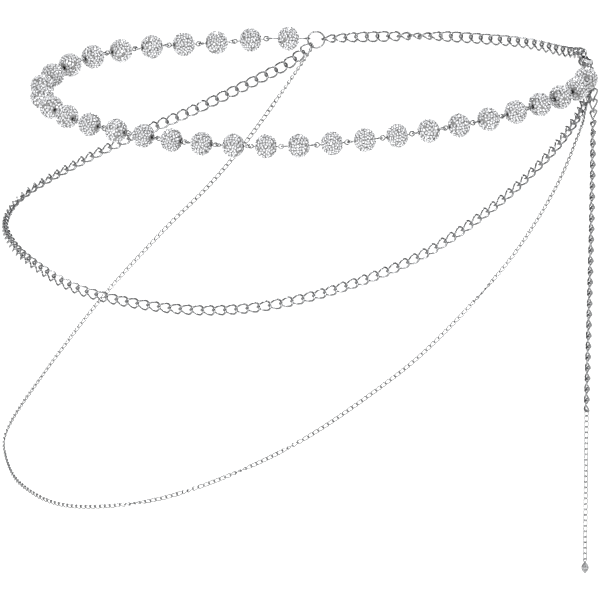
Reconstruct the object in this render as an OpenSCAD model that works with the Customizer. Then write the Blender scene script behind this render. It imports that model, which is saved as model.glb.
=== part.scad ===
// Waist chain: a strand of crystal-set ball beads round the waist, two chains draped over the
// hips, and an extender chain with a lobster clasp, a hanging tail and a small drop.
// The origin is the middle of the waist at the height of the strand. +X is the wearer's side
// with the clasp, +Y is the side with the large ring and +Z is up. Lengths are in millimetres.

/* [Beads] */
// Diameter of a ball bead, across its hole
bead_d = 10.4; // [10:0.1:11.5]
// Length of a ball bead, along its hole
bead_l = 9.6; // [9:0.1:10]
// Diameter of the hole through a bead
bead_bore_d = 1.6; // [0.8:0.1:2]
// Thickness of the wire of a pin's two eyes
pin_wire_d = 0.65; // [0.58:0.01:0.7]
// Thickness of the pin inside the bead
pin_shaft_d = 0.55; // [0.4:0.05:0.55]
// Outer diameter of a pin's eye
eye_d = 2.65; // [2.55:0.05:2.9]

/* [Rings] */
// Outer diameter of the large ring at the back
back_ring_d = 8; // [7:0.25:10]
// Outer diameter of the ring that carries the clasp
clasp_ring_d = 6; // [5.6:0.1:7]
// Thickness of the wire of both rings
ring_wire_d = 0.8; // [0.6:0.05:0.9]

/* [Link chains] */
// Thickness of the wire of a link
link_wire_d = 0.8; // [0.6:0.05:0.85]
// Distance from one link to the next
link_pitch = 4.8; // [4.7:0.1:6]
// Outer width of a link
link_w = 5.2; // [4.6:0.1:5.6]
// Lean of a link to either side of the chain's flat face, in degrees
link_lean = 40; // [34:1:45]
// Width of the fine chain
fine_chain_w = 2; // [1.6:0.1:2.4]

/* [Clasp] */
// Distance from the middle of the clasp's eye to the wire at the top of its hook
clasp_reach = 10.2; // [9.6:0.1:12]
// Thickness of the clasp's base
clasp_t = 2.6; // [2.4:0.1:3.2]
// Thickness of the hook's wire
hook_wire_d = 1.4; // [1:0.1:1.5]
// Thickness of the lever
lever_t = 1.2; // [0.8:0.1:1.3]
// Diameter of the lever's pivot pin
pivot_d = 0.8; // [0.6:0.05:1]

/* [Drop] */
// Width of the cut drop at the tail's end
drop_w = 3.4; // [3:0.1:5]
// Height of the cut drop
drop_h = 4.4; // [3.6:0.1:7]

/* [Hidden] */
$fn = 32;
// Free space between wires that hook into each other
hook_gap = 0.2;
// Free space between a moving face and the face beside it
side_gap = 0.1;
// Free space between a bead and the eyes of its pin, at the least
bead_play = 0.3;
// Free space round the lever's pivot pin, on the radius
pivot_gap = 0.05;
// Straight steps that each stretch of a route is measured in
route_steps = 10;
// Sides of the fine chain's tube
tube_sides = 8;
// Half width and half depth of the waist
waist_x = 116.5;
waist_y = 81;

// Middle of the large ring, which stands square to the line of sight
back_ring_at = [1, waist_y, -0.5];
// Places on the large ring, in degrees from +X towards +Z
back_ring_strand = 170;
back_ring_drape = 216;
back_ring_fine = 244;
back_ring_extender = 6;

// Middle of the clasp's ring, and the way across it from the strand to the clasp
clasp_ring_at = [117.4, 0.5, 8.2];
clasp_ring_way = [0.05, 0.98, 0.15];
// Places on the clasp's ring, in degrees from the strand's side, downwards
clasp_ring_strand = 0;
clasp_ring_drape = 62;
clasp_ring_fine = 100;
clasp_ring_clasp = 180;
// The way the clasp points, from its ring to its hook, and its roll outwards in degrees
clasp_way = [-0.2, 0.96, 0.2];
clasp_roll = 15;

// Share of the strand's length that a share of its beads takes up, from the large ring on
strand_spread = [
    [0, 0], [0.031, 0.038], [0.125, 0.134], [0.22, 0.2345], [0.42, 0.441], [0.56, 0.576], [1, 1]
];
// Route of the bead strand between its two rings
strand_points = [
    [-12, 80.5, 0.8], [-41, 76, -0.4], [-69, 65, 1], [-95, 47, 1.6], [-111, 24, 0.4],
    [-117, -1, -1.3], [-106, -34, -2.1], [-84, -54, -2.9], [-49, -75, -2.6], [-7, -82.5, -1.6],
    [36, -78, 1.7], [74, -62, 4.3], [96, -45, 6.2], [111.5, -23, 6.2]
];
// Route of the draped link chain between the two rings
drape_points = [
    [-8, 76.8, -7.8], [-17, 76.5, -13.2], [-47, 77, -28.5], [-75, 66, -38], [-100, 50, -46],
    [-121, 29, -52.5], [-130, 9, -56.5], [-131, -20, -58], [-121, -50, -61.5], [-97, -77, -67.5],
    [-57, -93, -70.5], [-21, -97, -68], [15, -92, -60], [48, -80, -49], [78, -60, -33],
    [99, -41, -18], [110, -24, -8.5], [114.5, -11, -3.8], [116.6, -3.6, 0.5]
];
// Route of the fine chain between the two rings
fine_points = [
    [-7, 82, -14], [-26, 82, -42], [-44, 80, -64], [-65, 74, -84], [-92, 57, -110],
    [-118, 27, -137], [-131, 2, -151], [-132, -14, -158], [-125, -42, -163],
    [-106, -68, -164.6], [-74, -88, -157.4], [-44, -96, -146.3], [-8, -99, -128.3],
    [26, -93, -106.5], [51, -84, -87.7],
    [82, -62, -59], [102, -38, -34], [112.5, -19, -14.5], [115.3, -6, -9],
    [116.7, 0.6, -2]
];
// Route of the extender chain from the large ring to the clasp
extender_points = [
    [20, 80, 1], [51, 72.5, 3.5], [75, 62, 5], [92, 50, 6.5], [108, 31, 8]
];
// Route of the hanging tail below the clasp, first as link chain and then as fine chain
tail_points = [[118.2, 13.5, 1], [119.3, 13, -7], [118.9, 13, -55], [117.7, 13, -110]];
tail_change = [116.8, 13, -146.3];
tail_end = [116.3, 13, -212.7];

// Twist of a chain's flat face: millimetres from one end of it, degrees
drape_twist = [
    [0, 50], [26, 0], [75, 0], [95, -22], [160, -30], [190, 0], [240, 0], [300, 20], [480, 20], [510, 0]
];
drape_end_twist = [[0, 50], [26, 0]];
extender_twist = [[0, 50], [22, 0], [26, 0], [38, 62], [43, 62], [56, 0]];
extender_end_twist = [[0, 40], [26, 0]];
tail_twist = [[0, 0], [18, 0], [34, -38], [160, -38]];
no_twist = [[0, 0]];

// Short forms that the sizes give
bead_r = bead_d / 2;
pin_r = pin_wire_d / 2;
ring_r = ring_wire_d / 2;
link_r = link_wire_d / 2;
eye_r = eye_d / 2 - pin_r;
back_ring_r = back_ring_d / 2 - ring_r;
clasp_ring_r = clasp_ring_d / 2 - ring_r;
link_reach = (link_pitch + link_wire_d + hook_gap) / 2;
link_l = 2 * (link_reach + link_r);
link_half_w = link_w / 2 - link_r;

// Two neighbouring eyes overlap so that their wires stay a gap apart
eye_step = 2 * eye_r - pin_wire_d - hook_gap;
// Middle of an eye from the middle of its bead, at the least
eye_least = bead_l / 2 + bead_play + eye_d / 2;
bead_pitch_least = 2 * eye_least + eye_step;

function unit(v) = v / norm(v);

// Points of a smooth curve through p
function curve_point(p, i, t) =
    let (
        last = len(p) - 1,
        a = i > 0 ? p[i - 1] : 2 * p[0] - p[1],
        b = p[i],
        c = p[i + 1],
        d = i + 1 < last ? p[i + 2] : 2 * p[last] - p[last - 1]
    )
    b + t / 2 * (c - a + t * (2 * a - 5 * b + 4 * c - d + t * (3 * b - a - 3 * c + d)));
function curve(p) = [
    for (i = [0:len(p) - 2], k = [0:route_steps - 1]) curve_point(p, i, k / route_steps),
    p[len(p) - 1]
];

// A route is three tables of x, y and z against the distance from its start
function distances(q) = [for (i = 0, s = 0; i < len(q);
    i = i + 1, s = i < len(q) ? s + norm(q[i] - q[i - 1]) : s) s];
function route(p) =
    let (q = curve(p), s = distances(q))
    [for (axis = [0:2]) [for (i = [0:len(q) - 1]) [s[i], q[i][axis]]]];
function route_length(r) = r[0][len(r[0]) - 1][0];
function at(r, s) = [for (axis = [0:2]) lookup(s, r[axis])];

// The way out of the body at a place on the hips
function outward(p) = unit([p[0] / (waist_x * waist_x), p[1] / (waist_y * waist_y), 0]);

// Placement with its x axis along a way and its z axis near a facing
function placed(p, way, facing) =
    let (z = square_to(way, facing), y = cross(z, way))
    [
        [way[0], y[0], z[0], p[0]],
        [way[1], y[1], z[1], p[1]],
        [way[2], y[2], z[2], p[2]],
        [0, 0, 0, 1]
    ];

// The large ring's wire at an angle, and the way from the ring's middle to it
function back_ring_way(angle) = [cos(angle), 0, sin(angle)];
function back_ring_point(angle) = back_ring_at + back_ring_r * back_ring_way(angle);

// The clasp's ring hangs upright: the ways across it and up it, and out of its flat face
function square_to(way, v) = unit(v - (v * way) * way);
ring_y = unit(clasp_ring_way);
ring_z = square_to(ring_y, [0, 0, 1]);
ring_x = cross(ring_y, ring_z);
function ring_way(angle) = -cos(angle) * ring_y - sin(angle) * ring_z;
function clasp_ring_point(angle) = clasp_ring_at + clasp_ring_r * ring_way(angle);

// The clasp's own axes: along, out of its flat face and across
clasp_y = unit(clasp_way);
clasp_z = square_to(clasp_y, [sin(clasp_roll), 0, cos(clasp_roll)]);
clasp_x = cross(clasp_y, clasp_z);

// First point of a chain that hangs on a ring's wire, where its first link starts
ring_seat = link_reach - link_r - ring_r - hook_gap - link_pitch / 2;
// First point of the bead strand at a ring's wire
eye_seat = eye_step / 2 + pin_r + ring_r + 0.75 * hook_gap - eye_r;

// Clasp: its eye hangs on the ring, and the last link of the extender chain sits in its hook
eye_hole_d = ring_wire_d + 1.5;
clasp_eye_at = clasp_ring_point(clasp_ring_clasp) + (eye_hole_d / 2 - ring_r - 1.5 * hook_gap) * clasp_y;
hook_r = 2.3;
hook_middle = clasp_reach - hook_r;
held_link_at = clasp_eye_at
    + (clasp_reach - hook_wire_d / 2 - hook_gap - link_r + link_reach) * clasp_y;

// The tail hangs on the lower side of the held link, past the top of the hook
tail_side = clasp_reach + hook_wire_d / 2 + link_r + 1.25 * hook_gap;
tail_hook_at = clasp_eye_at + tail_side * clasp_y - link_half_w * clasp_z;
tail_top = tail_hook_at + [0, 0, link_pitch / 2 - link_reach + 2 * link_r + hook_gap];

strand_route = route(concat(
    [back_ring_point(back_ring_strand) - eye_seat * back_ring_way(back_ring_strand)],
    strand_points,
    [clasp_ring_point(clasp_ring_strand) - eye_seat * ring_way(clasp_ring_strand)]
));
drape_route = route(concat(
    [back_ring_point(back_ring_drape) + ring_seat * back_ring_way(back_ring_drape)],
    drape_points,
    [clasp_ring_point(clasp_ring_drape) + ring_seat * ring_way(clasp_ring_drape)]
));
extender_route = route(concat(
    [back_ring_point(back_ring_extender) + ring_seat * back_ring_way(back_ring_extender)],
    extender_points,
    [held_link_at + link_pitch / 2 * clasp_y]
));
tail_route = route(concat([tail_top], tail_points, [tail_change]));
fine_seat = ring_r + side_gap + 0.4;
fine_route = route(concat(
    [back_ring_point(back_ring_fine) + fine_seat * back_ring_way(back_ring_fine)],
    fine_points,
    [clasp_ring_point(clasp_ring_fine) + fine_seat * ring_way(clasp_ring_fine)]
));

// The tightest pitch is at the strand's far end, past the last row but one of its spread
spread_row = strand_spread[len(strand_spread) - 2];
tightest = (1 - spread_row[1]) / (1 - spread_row[0]);
bead_count = floor(route_length(strand_route) * tightest / bead_pitch_least);
// Distance along the strand to the joint after bead k
function joint_at(k) = route_length(strand_route) * lookup(k / bead_count, strand_spread);

function link_count(r) = ceil(route_length(r) / link_pitch);
drape_links = link_count(drape_route);
drape_half = floor(drape_links / 2);

function bead_name(k) = str("bead_", k < 10 ? "0" : "", k);

// Places one bead or pin of the strand, with its x axis along the strand
module on_strand(k) {
    a = at(strand_route, joint_at(k - 1));
    b = at(strand_route, joint_at(k));
    multmatrix(placed((a + b) / 2, unit(b - a), [0, 0, 1])) children();
}

// A ball with a flat round each end of its hole
module bead(k) {
    color("gainsboro") on_strand(k) difference() {
        intersection() {
            sphere(r = bead_r);
            cube([bead_l, bead_d + 1, bead_d + 1], center = true);
        }
        rotate([0, 90, 0]) cylinder(h = bead_l + 1, d = bead_bore_d, center = true);
    }
}

// Turn of the eyes that meet at the end of pin k, in degrees from upright
function eye_turn(k) =
    k == 0 ? 0 : k == bead_count ? clasp_roll : 40 + 48 * sin(200 * k);

module eye(turn) {
    rotate([turn, 0, 0]) rotate_extrude() translate([eye_r, 0]) circle(r = pin_r);
}

module eye_pin(k) {
    span = norm(at(strand_route, joint_at(k)) - at(strand_route, joint_at(k - 1)));
    eye_at = (span - eye_step) / 2;
    shaft = 2 * (eye_at - eye_r);
    on_strand(k) {
        rotate([0, 90, 0]) cylinder(h = shaft, d = pin_shaft_d, center = true);
        translate([-eye_at, 0, 0]) eye(k == 1 ? 0 : eye_turn(k - 1) + 90);
        translate([eye_at, 0, 0]) eye(eye_turn(k));
    }
}

module eye_pins() {
    color("silver") for (k = [1:bead_count]) eye_pin(k);
}

// One oval link along x, lying flat
module link() {
    side = link_l - link_w;
    for (turn = [0, 180]) rotate([0, 0, turn]) {
        translate([side / 2, 0, 0]) rotate([0, 0, -90])
            rotate_extrude(angle = 180) translate([link_half_w, 0]) circle(r = link_r);
        translate([-side / 2, link_half_w, 0]) rotate([0, 90, 0]) cylinder(h = side, r = link_r);
    }
}

// Roll of link i of count: links lean to the two sides of the chain's flat face in turn
function link_roll(i, count, pitch, twist, end_twist) =
    (i % 2 == 0 ? 1 : -1) * link_lean + lookup((i + 0.5) * pitch, twist)
    + (count % 2 == 1 ? 1 : -1) * lookup((count - i - 0.5) * pitch, end_twist);

// Links first to last of a chain
module chain(r, first, last, twist, end_twist, facing) {
    count = link_count(r);
    pitch = route_length(r) / count;
    for (i = [first:last]) {
        a = at(r, i * pitch);
        b = at(r, (i + 1) * pitch);
        flat = is_undef(facing) ? outward((a + b) / 2) : facing;
        lean = link_roll(i, count, pitch, twist, end_twist);
        multmatrix(placed((a + b) / 2, unit(b - a), flat)) rotate([lean, 0, 0]) link();
    }
}

module drape_chain_left() {
    color("silver") chain(drape_route, 0, drape_half - 1, drape_twist, drape_end_twist);
}

module drape_chain_right() {
    color("silver")
        chain(drape_route, drape_half, drape_links - 1, drape_twist, drape_end_twist);
}

module extender_chain() {
    color("silver") {
        chain(extender_route, 0, link_count(extender_route) - 1,
            extender_twist, extender_end_twist);
        multmatrix(placed(held_link_at, clasp_y, clasp_x)) link();
    }
}

module tail_chain() {
    facing = cos(link_lean) * clasp_y + sin(link_lean) * cross(clasp_y, [0, 0, -1]);
    color("silver")
        chain(tail_route, 0, link_count(tail_route) - 1, tail_twist, no_twist, facing);
}

module back_ring() {
    color("silver") translate(back_ring_at) rotate([90, 0, 0])
        rotate_extrude() translate([back_ring_r, 0]) circle(r = ring_r);
}

module clasp_ring() {
    color("silver") multmatrix(placed(clasp_ring_at, ring_y, ring_x))
        rotate_extrude() translate([clasp_ring_r, 0]) circle(r = ring_r);
}

// A tube of tube_sides sides swept along points q
module tube(q, r) {
    last = len(q) - 1;
    rings = [
        for (i = [0:last])
            let (
                way = unit(q[min(i + 1, last)] - q[max(i - 1, 0)]),
                out = outward(q[i]),
                z = unit(out - (out * way) * way),
                y = cross(z, way)
            )
            for (k = [0:tube_sides - 1])
                let (turn = 360 * k / tube_sides) q[i] + r * (cos(turn) * y + sin(turn) * z)
    ];
    walls = [
        for (i = [0:last - 1], k = [0:tube_sides - 1])
            let (n = (k + 1) % tube_sides, a = i * tube_sides, b = a + tube_sides)
            each [[a + k, b + k, a + n], [a + n, b + k, b + n]]
    ];
    polyhedron(
        points = rings,
        faces = concat(
            [[for (k = [0:tube_sides - 1]) k]],
            walls,
            [[for (k = [tube_sides - 1:-1:0]) last * tube_sides + k]]
        )
    );
}

// Tube rings of the two fine chains
fine_rings = 66;
tail_rings = 8;

module fine_drape_chain() {
    step = route_length(fine_route) / fine_rings;
    color("silver") tube([for (i = [0:fine_rings]) at(fine_route, i * step)], fine_chain_w / 2);
}

module fine_tail_chain() {
    top = tail_change - [0, 0, link_reach - link_pitch / 2 + link_r + side_gap];
    bottom = tail_end + [0, 0, drop_eye_r - drop_wire_d / 2 + side_gap];
    color("silver") tube([for (i = [0:tail_rings]) top + (bottom - top) * i / tail_rings],
        fine_chain_w / 2);
}

// Cut drop, with a table at its foot and a drilled axis for its pin
drop_wire_d = 0.5;
drop_facets = 10;
// Height and radius of each row of facets, as shares of the drop's height and half width
drop_rows = [[0, 0.34], [0.2, 0.8], [0.42, 1], [0.6, 0.96], [0.84, 0.62], [1, 0.3]];
drop_eye_r = 0.75;
drop_top = tail_end - [0, 0, drop_eye_r + drop_wire_d + 0.3];

module cut_drop() {
    color("lightcyan") translate(drop_top - [0, 0, drop_h]) difference() {
        rotate_extrude($fn = drop_facets)
            polygon(concat(
                [[0, 0]],
                [for (row = drop_rows) [row[1] * drop_w / 2, row[0] * drop_h]],
                [[0, drop_h]]
            ));
        translate([0, 0, -1]) cylinder(h = drop_h + 2, d = drop_wire_d + 2 * side_gap + 0.1);
    }
}

module drop_pin() {
    color("silver") translate(drop_top) {
        translate([0, 0, drop_eye_r + 0.3]) rotate([90, 0, 0])
            rotate_extrude() translate([drop_eye_r, 0]) circle(d = drop_wire_d);
        translate([0, 0, -drop_h - side_gap - 0.1])
            cylinder(h = drop_h + side_gap + 0.4, d = drop_wire_d - 0.1);
        translate([0, 0, -drop_h - side_gap - 0.4]) cylinder(h = 0.3, d = 1);
    }
}

// Places the clasp's pieces, with x across, y along and z out of its flat face
module on_clasp() {
    multmatrix([
        [clasp_x[0], clasp_y[0], clasp_z[0], clasp_eye_at[0]],
        [clasp_x[1], clasp_y[1], clasp_z[1], clasp_eye_at[1]],
        [clasp_x[2], clasp_y[2], clasp_z[2], clasp_eye_at[2]],
        [0, 0, 0, 1]
    ]) children();
}

// Clasp outline sizes, in its own axes
eye_rim = 0.75;
eye_t = 1.4;
arm_r = 8.5;
pivot_at = [-1.5, 3.7];
lever_w = 1;
lever_tip = [-2.2, hook_middle - 1.5 * side_gap - lever_w / 2];
boss_r = 0.95;
slot_t = lever_t + 2 * side_gap;

module clasp_body() {
    color("silver") on_clasp() {
        difference() {
            linear_extrude(height = eye_t, center = true) difference() {
                circle(d = eye_hole_d + 2 * eye_rim);
                circle(d = eye_hole_d);
            }
            translate([0, 2.9, 0]) cube([4, 2.9, clasp_t], center = true);
        }
        difference() {
            linear_extrude(height = clasp_t, center = true)
                polygon([[-1.1, 1.45], [1.1, 1.45], [2.2, 3.6], [2, 5], [0.4, 5], [-0.6, 4.7],
                    [-1.6, 4.9], [-2.3, 4.4], [-2.4, 3.4]]);
            translate([pivot_at[0], pivot_at[1], 0])
                cylinder(h = slot_t, r = boss_r + side_gap, center = true);
            translate([pivot_at[0] - 2, pivot_at[1], -slot_t / 2]) cube([3.1, 3, slot_t]);
        }
        translate([pivot_at[0], pivot_at[1], 0]) cylinder(h = clasp_t - 0.4, d = pivot_d, center = true);
        translate([0, hook_middle, 0])
            rotate_extrude(angle = 180) translate([hook_r, 0]) circle(d = hook_wire_d);
        translate([hook_r - arm_r, hook_middle, 0]) rotate([0, 0, -26])
            rotate_extrude(angle = 26) translate([arm_r, 0]) circle(d = hook_wire_d);
    }
}

module clasp_lever() {
    color("silver") on_clasp() difference() {
        linear_extrude(height = lever_t, center = true) {
            translate(pivot_at) circle(r = boss_r);
            hull() {
                translate(pivot_at + [-0.3, 0.4]) circle(d = lever_w);
                translate(lever_tip) circle(d = lever_w);
            }
            hull() {
                translate(pivot_at + [-0.4, 0.3]) circle(d = lever_w);
                translate(pivot_at + [-1.7, 1.1]) circle(d = lever_w);
            }
        }
        translate([pivot_at[0], pivot_at[1], 0])
            cylinder(h = clasp_t, r = pivot_d / 2 + pivot_gap, center = true);
    }
}

back_ring();
clasp_ring();
clasp_body();
clasp_lever();
eye_pins();
drape_chain_left();
drape_chain_right();
extender_chain();
tail_chain();
fine_drape_chain();
fine_tail_chain();
drop_pin();
cut_drop();
for (k = [1:bead_count])
    bead(k);
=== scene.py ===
"""Dresses the waist chain: crystal-set beads, curb chains, fine chains, clasp and cut drop.

Every piece is made at the place that the packed model gives it. Lengths are in metres, +X is the
wearer's side with the clasp, +Y is the side with the large ring and +Z is up.
"""

import bisect
import math
import random

import bmesh
import bpy
from bpy.props import FloatProperty, FloatVectorProperty, IntProperty, PointerProperty
from mathutils import Matrix, Vector


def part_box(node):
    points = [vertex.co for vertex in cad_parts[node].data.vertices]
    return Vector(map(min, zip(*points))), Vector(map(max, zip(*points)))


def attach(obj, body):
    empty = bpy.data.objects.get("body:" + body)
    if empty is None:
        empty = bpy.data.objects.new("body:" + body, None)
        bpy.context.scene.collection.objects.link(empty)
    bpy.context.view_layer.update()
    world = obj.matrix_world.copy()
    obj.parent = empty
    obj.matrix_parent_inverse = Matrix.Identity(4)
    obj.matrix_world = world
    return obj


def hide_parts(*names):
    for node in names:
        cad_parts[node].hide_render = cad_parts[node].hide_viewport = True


bl_info = {
    "name": "Waist Chain Maker",
    "version": (1, 0, 0),
    "blender": (4, 5, 0),
    "location": "3D View > Sidebar > Waist Chain",
    "description": "Models a waist chain of crystal-set beads, curb chains, a clasp and a cut drop",
    "category": "Object",
}

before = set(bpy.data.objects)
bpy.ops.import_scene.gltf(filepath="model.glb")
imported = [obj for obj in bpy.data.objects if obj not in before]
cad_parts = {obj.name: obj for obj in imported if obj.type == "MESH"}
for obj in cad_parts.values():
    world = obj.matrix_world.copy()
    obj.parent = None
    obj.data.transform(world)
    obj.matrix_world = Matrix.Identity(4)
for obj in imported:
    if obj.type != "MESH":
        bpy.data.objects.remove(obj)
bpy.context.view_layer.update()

MM = 0.001
X, Y, Z = Vector((1, 0, 0)), Vector((0, 1, 0)), Vector((0, 0, 1))


def box_size(node):
    """Width, depth and height of a CAD node."""
    low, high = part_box(node)
    return high - low


def box_middle(node):
    """Middle of a CAD node's box."""
    low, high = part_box(node)
    return (low + high) / 2


# Half width and half depth of the waist, which give the way out of the body
WAIST_X = 0.1165
WAIST_Y = 0.081

# Free space between wires that hook into each other, beside the lever and round its pivot
HOOK_GAP = 0.2 * MM
SIDE_GAP = 0.1 * MM
PIVOT_GAP = 0.05 * MM

# Slack along a curb link, the held link and a fine link, past the wire that hooks through each
LINK_SLACK = 0.1 * MM
HELD_SLACK = 0.2 * MM
FINE_SLACK = 0.08 * MM

# Turn in degrees up to which an edge of cast metal and clay, and one of round wire, looks smooth
SMOOTH_CAST, SMOOTH_WIRE = 40, 60

# Share of a pitch by which a chain may pass a whole number of links without one link more
ROUNDING = 1e-6

# Steps round a link and round its wire
LINK_STEPS = (20, 8)
FINE_STEPS = (14, 6)

# Thickness of the packed pins' wire, by which the joints of the strand are placed
CAD_PIN_WIRE = 0.65 * MM

# Middle of the large ring, and the places on its wire in degrees from +X towards +Z
BACK_RING_AT = Vector((0.001, WAIST_Y, -0.0005))
BACK_RING_STRAND = 170
BACK_RING_DRAPE = 216
BACK_RING_FINE = 244
BACK_RING_EXTENDER = 6

# Middle of the clasp's ring, its radius to the middle of its wire, the way across it and the
# places on its wire, from the strand's side
CLASP_RING_AT = Vector((0.1174, 0.0005, 0.0082))
CLASP_RING_R = 2.6 * MM
CLASP_RING_WAY = Vector((0.05, 0.98, 0.15))
CLASP_RING_STRAND = 0
CLASP_RING_DRAPE = 62
CLASP_RING_FINE = 100

# Places of the hairline joints on both rings' wires in degrees, and half the width of a joint
BACK_RING_CUT = 100
CLASP_RING_CUT = 255
HALF_CUT = 0.06 * MM

# The way the clasp points from its ring to its hook, and its roll outwards in degrees
CLASP_WAY = Vector((-0.2, 0.96, 0.2))
CLASP_ROLL = 15

# The clasp in its own axes, x across it, y from its eye to its hook and z out of its flat face:
# the outline of its base in millimetres, the lever's pivot and the place where its tip shuts
BASE_OUTLINE = [
    (-1.1, 1.45), (1.1, 1.45), (1.9, 2.7), (2.2, 3.6), (2.0, 5.0), (0.5, 5.0),
    (-0.6, 4.7), (-1.6, 4.9), (-2.3, 4.4), (-2.4, 3.4), (-1.9, 2.4),
]
PIVOT_AT = Vector((-0.0015, 0.0037, 0))
LEVER_TIP = Vector((-0.0022, 0.00725, 0))

# The lever's finger from its boss to its tip and the tab that opens it, by their distances from
# the pivot or the tip in millimetres, each with its thickness as a share of the finger's wire
FINGER_ROOT = [((-0.3, 0.4, 0), 1.0), ((-0.55, 1.6, 0), 1.0)]
FINGER_END = [((0, -0.5, 0), 1.0), ((0, 0.4, 0), 0.8)]
TAB = [
    ((-0.2, 0.2, 0), 1.0), ((-1.0, 0.75, 0), 0.9), ((-1.7, 1.1, 0), 0.95), ((-2.0, 1.25, 0), 0.6),
]

# Slot that the lever turns in: its middle from the pivot and its size, in millimetres
SLOT_FROM_PIVOT = (-0.45, 1.5)
SLOT_SIZE = (3.1, 3)

# Where the arm's curve starts in degrees, and the thickness of the wire as a share of the hook's at
# the arm's foot, at the start of the hook and at its tip
ARM_START = -24
ARM_THICK, HOOK_THICK, TIP_THICK = 1.45, 1.05, 0.93

# Depth of the clasp's eye along its hole as a share of its rim, the rounding of the base's edge,
# what the rivet is longer than the base is thick, and the cells that body and lever are cast in
EYE_DEPTH = 1.8
BASE_EDGE = 0.3 * MM
RIVET_PROUD = 0.1 * MM
BODY_CELL = 0.09 * MM
LEVER_CELL = 0.07 * MM

# Height and radius of each row of the drop's facets, as shares of its height and half width
DROP_ROWS = [(0, 0.34), (0.2, 0.8), (0.42, 1), (0.6, 0.96), (0.84, 0.62), (1, 0.3)]
DROP_FACETS = 10
DROP_SPIN = math.radians(9)

# Height of the head of the drop's pin as a share of its width
HEAD_FLAT = 0.5

# Thickness of the disc that the drop is drawn out of, before it is pressed flat
DROP_DISC = 0.1 * MM

# The drop's pin: gap from the drop up to its eye, the end of its neck above the drop, and the end
# of its stem and the middle of its head below, then where its eye starts and how far it is bent
PIN_EYE_GAP, PIN_NECK = 0.3 * MM, 0.1 * MM
PIN_STEM_END, PIN_HEAD = 0.25 * MM, 0.2 * MM
PIN_EYE_START, PIN_EYE_SWEEP = -60, -325

# Heights of a stone's crown and foot and width of its table, as shares of its diameter
CROWN_SHARE = 0.21
FOOT_SHARE = 0.2
TABLE_SHARE = 0.6

# A stone's least and most size as a share of the named one, its lean either way in radians, and
# the share of it that has to be clear of the bore
STONE_LEAST, STONE_MOST = 0.8, 1.06
STONE_LEAN = 0.24
STONE_CLEAR = 0.85

# Turns in which the stones push each other apart, and the share of the overlap taken in each
PUSH_TURNS = 30
PUSH_SHARE = 0.3

# Face attribute that holds each facet's painted reflection: how light the part of the room that it
# mirrors is painted into its colour, from 0 to 1
PAINTED_FACET_REFLECTION = "facet_tone"

# Least rise of a table's normal and most rise of a girdle's, painted reflections of a stone's table
# and crown on its dark and its light side, how far the dark side, painted as mirroring the dark
# part of the room, reaches round each from the stone's x in degrees, and the painted reflection of
# its girdle, which is dark
TABLE_RISE, GIRDLE_RISE = 0.95, 0.1
TABLE_PAINTED_REFLECTIONS, TABLE_DARK = (0.6, 1.0), 50
CROWN_PAINTED_REFLECTIONS, CROWN_DARK = (0.06, 0.8), 44
GIRDLE_PAINTED_REFLECTION = 0.2

# Where a pin's eye leaves its neck and how far round it is bent, in degrees, and its steps
EYE_START, EYE_SWEEP, EYE_STEPS = 212, 322, 22

# Where a pin's neck is still straight and where it is bent, from the eye's middle as shares of the
# eye's radius, and how far it is bent aside there as a share of the wire
NECK_STRAIGHT, NECK_BENT, NECK_SIDE = 1.9, 1.45, 0.08

# Turn of the eyes along the strand in degrees from upright: their middle turn, the most that they
# differ from it either way, and the step of that wave from joint to joint
EYE_HANG, EYE_SWING, EYE_WAVE = 40, 48, 200

# Steps round a jump ring, along the clasp's arm and hook, and round the eye of the drop's pin
RING_STEPS = 56
ARM_STEPS, HOOK_STEPS = 8, 20
PIN_EYE_STEPS = 24

# Middle of what the camera sees
VIEW_MIDDLE = Vector((-0.00596, 0, -0.09334))

# Soft lights: place, point that each faces, diameter in metres and power in watts
LIGHTS = {
    "top_light": ((0, 1.0, 1.7), (0, 0.6, -0.3), 0.7, 40),
    "front_light": ((-0.9, -1.9, 0.7), (0, 0, -0.1), 0.8, 40),
    "side_light": ((1.7, -0.6, 0.6), (0, 0, -0.1), 0.5, 14),
    "back_light": ((0.5, 1.8, 1.0), (0, 0, -0.1), 0.5, 5),
}

# Strength of the world's light, and of the white ground that the camera sees
WORLD_LIGHT = 0.24
WHITE_GROUND = 1.0

# Share of the strand's length that a share of its beads takes up, from the large ring on
STRAND_SPREAD = [
    (0, 0), (0.031, 0.038), (0.125, 0.134), (0.22, 0.2345), (0.42, 0.441), (0.56, 0.576), (1, 1),
]

# Routes of the bead strand, the draped chain, the fine chain and the extender chain
STRAND_POINTS = [
    (-0.012, 0.0805, 0.0008), (-0.041, 0.076, -0.0004), (-0.069, 0.065, 0.001),
    (-0.095, 0.047, 0.0016), (-0.111, 0.024, 0.0004), (-0.117, -0.001, -0.0013),
    (-0.106, -0.034, -0.0021), (-0.084, -0.054, -0.0029), (-0.049, -0.075, -0.0026),
    (-0.007, -0.0825, -0.0016), (0.036, -0.078, 0.0017), (0.074, -0.062, 0.0043),
    (0.096, -0.045, 0.0062), (0.1115, -0.023, 0.0062),
]
DRAPE_POINTS = [
    (-0.008, 0.0768, -0.0078), (-0.017, 0.0765, -0.0132), (-0.047, 0.077, -0.0285),
    (-0.075, 0.066, -0.038), (-0.100, 0.050, -0.046), (-0.121, 0.029, -0.0525),
    (-0.130, 0.009, -0.0565), (-0.131, -0.020, -0.058), (-0.121, -0.050, -0.0615),
    (-0.097, -0.077, -0.0675), (-0.057, -0.093, -0.0705), (-0.021, -0.097, -0.068),
    (0.015, -0.092, -0.060), (0.048, -0.080, -0.049), (0.078, -0.060, -0.033),
    (0.099, -0.041, -0.018), (0.110, -0.024, -0.0085), (0.1145, -0.011, -0.0038),
    (0.1166, -0.0036, 0.0005),
]
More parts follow.
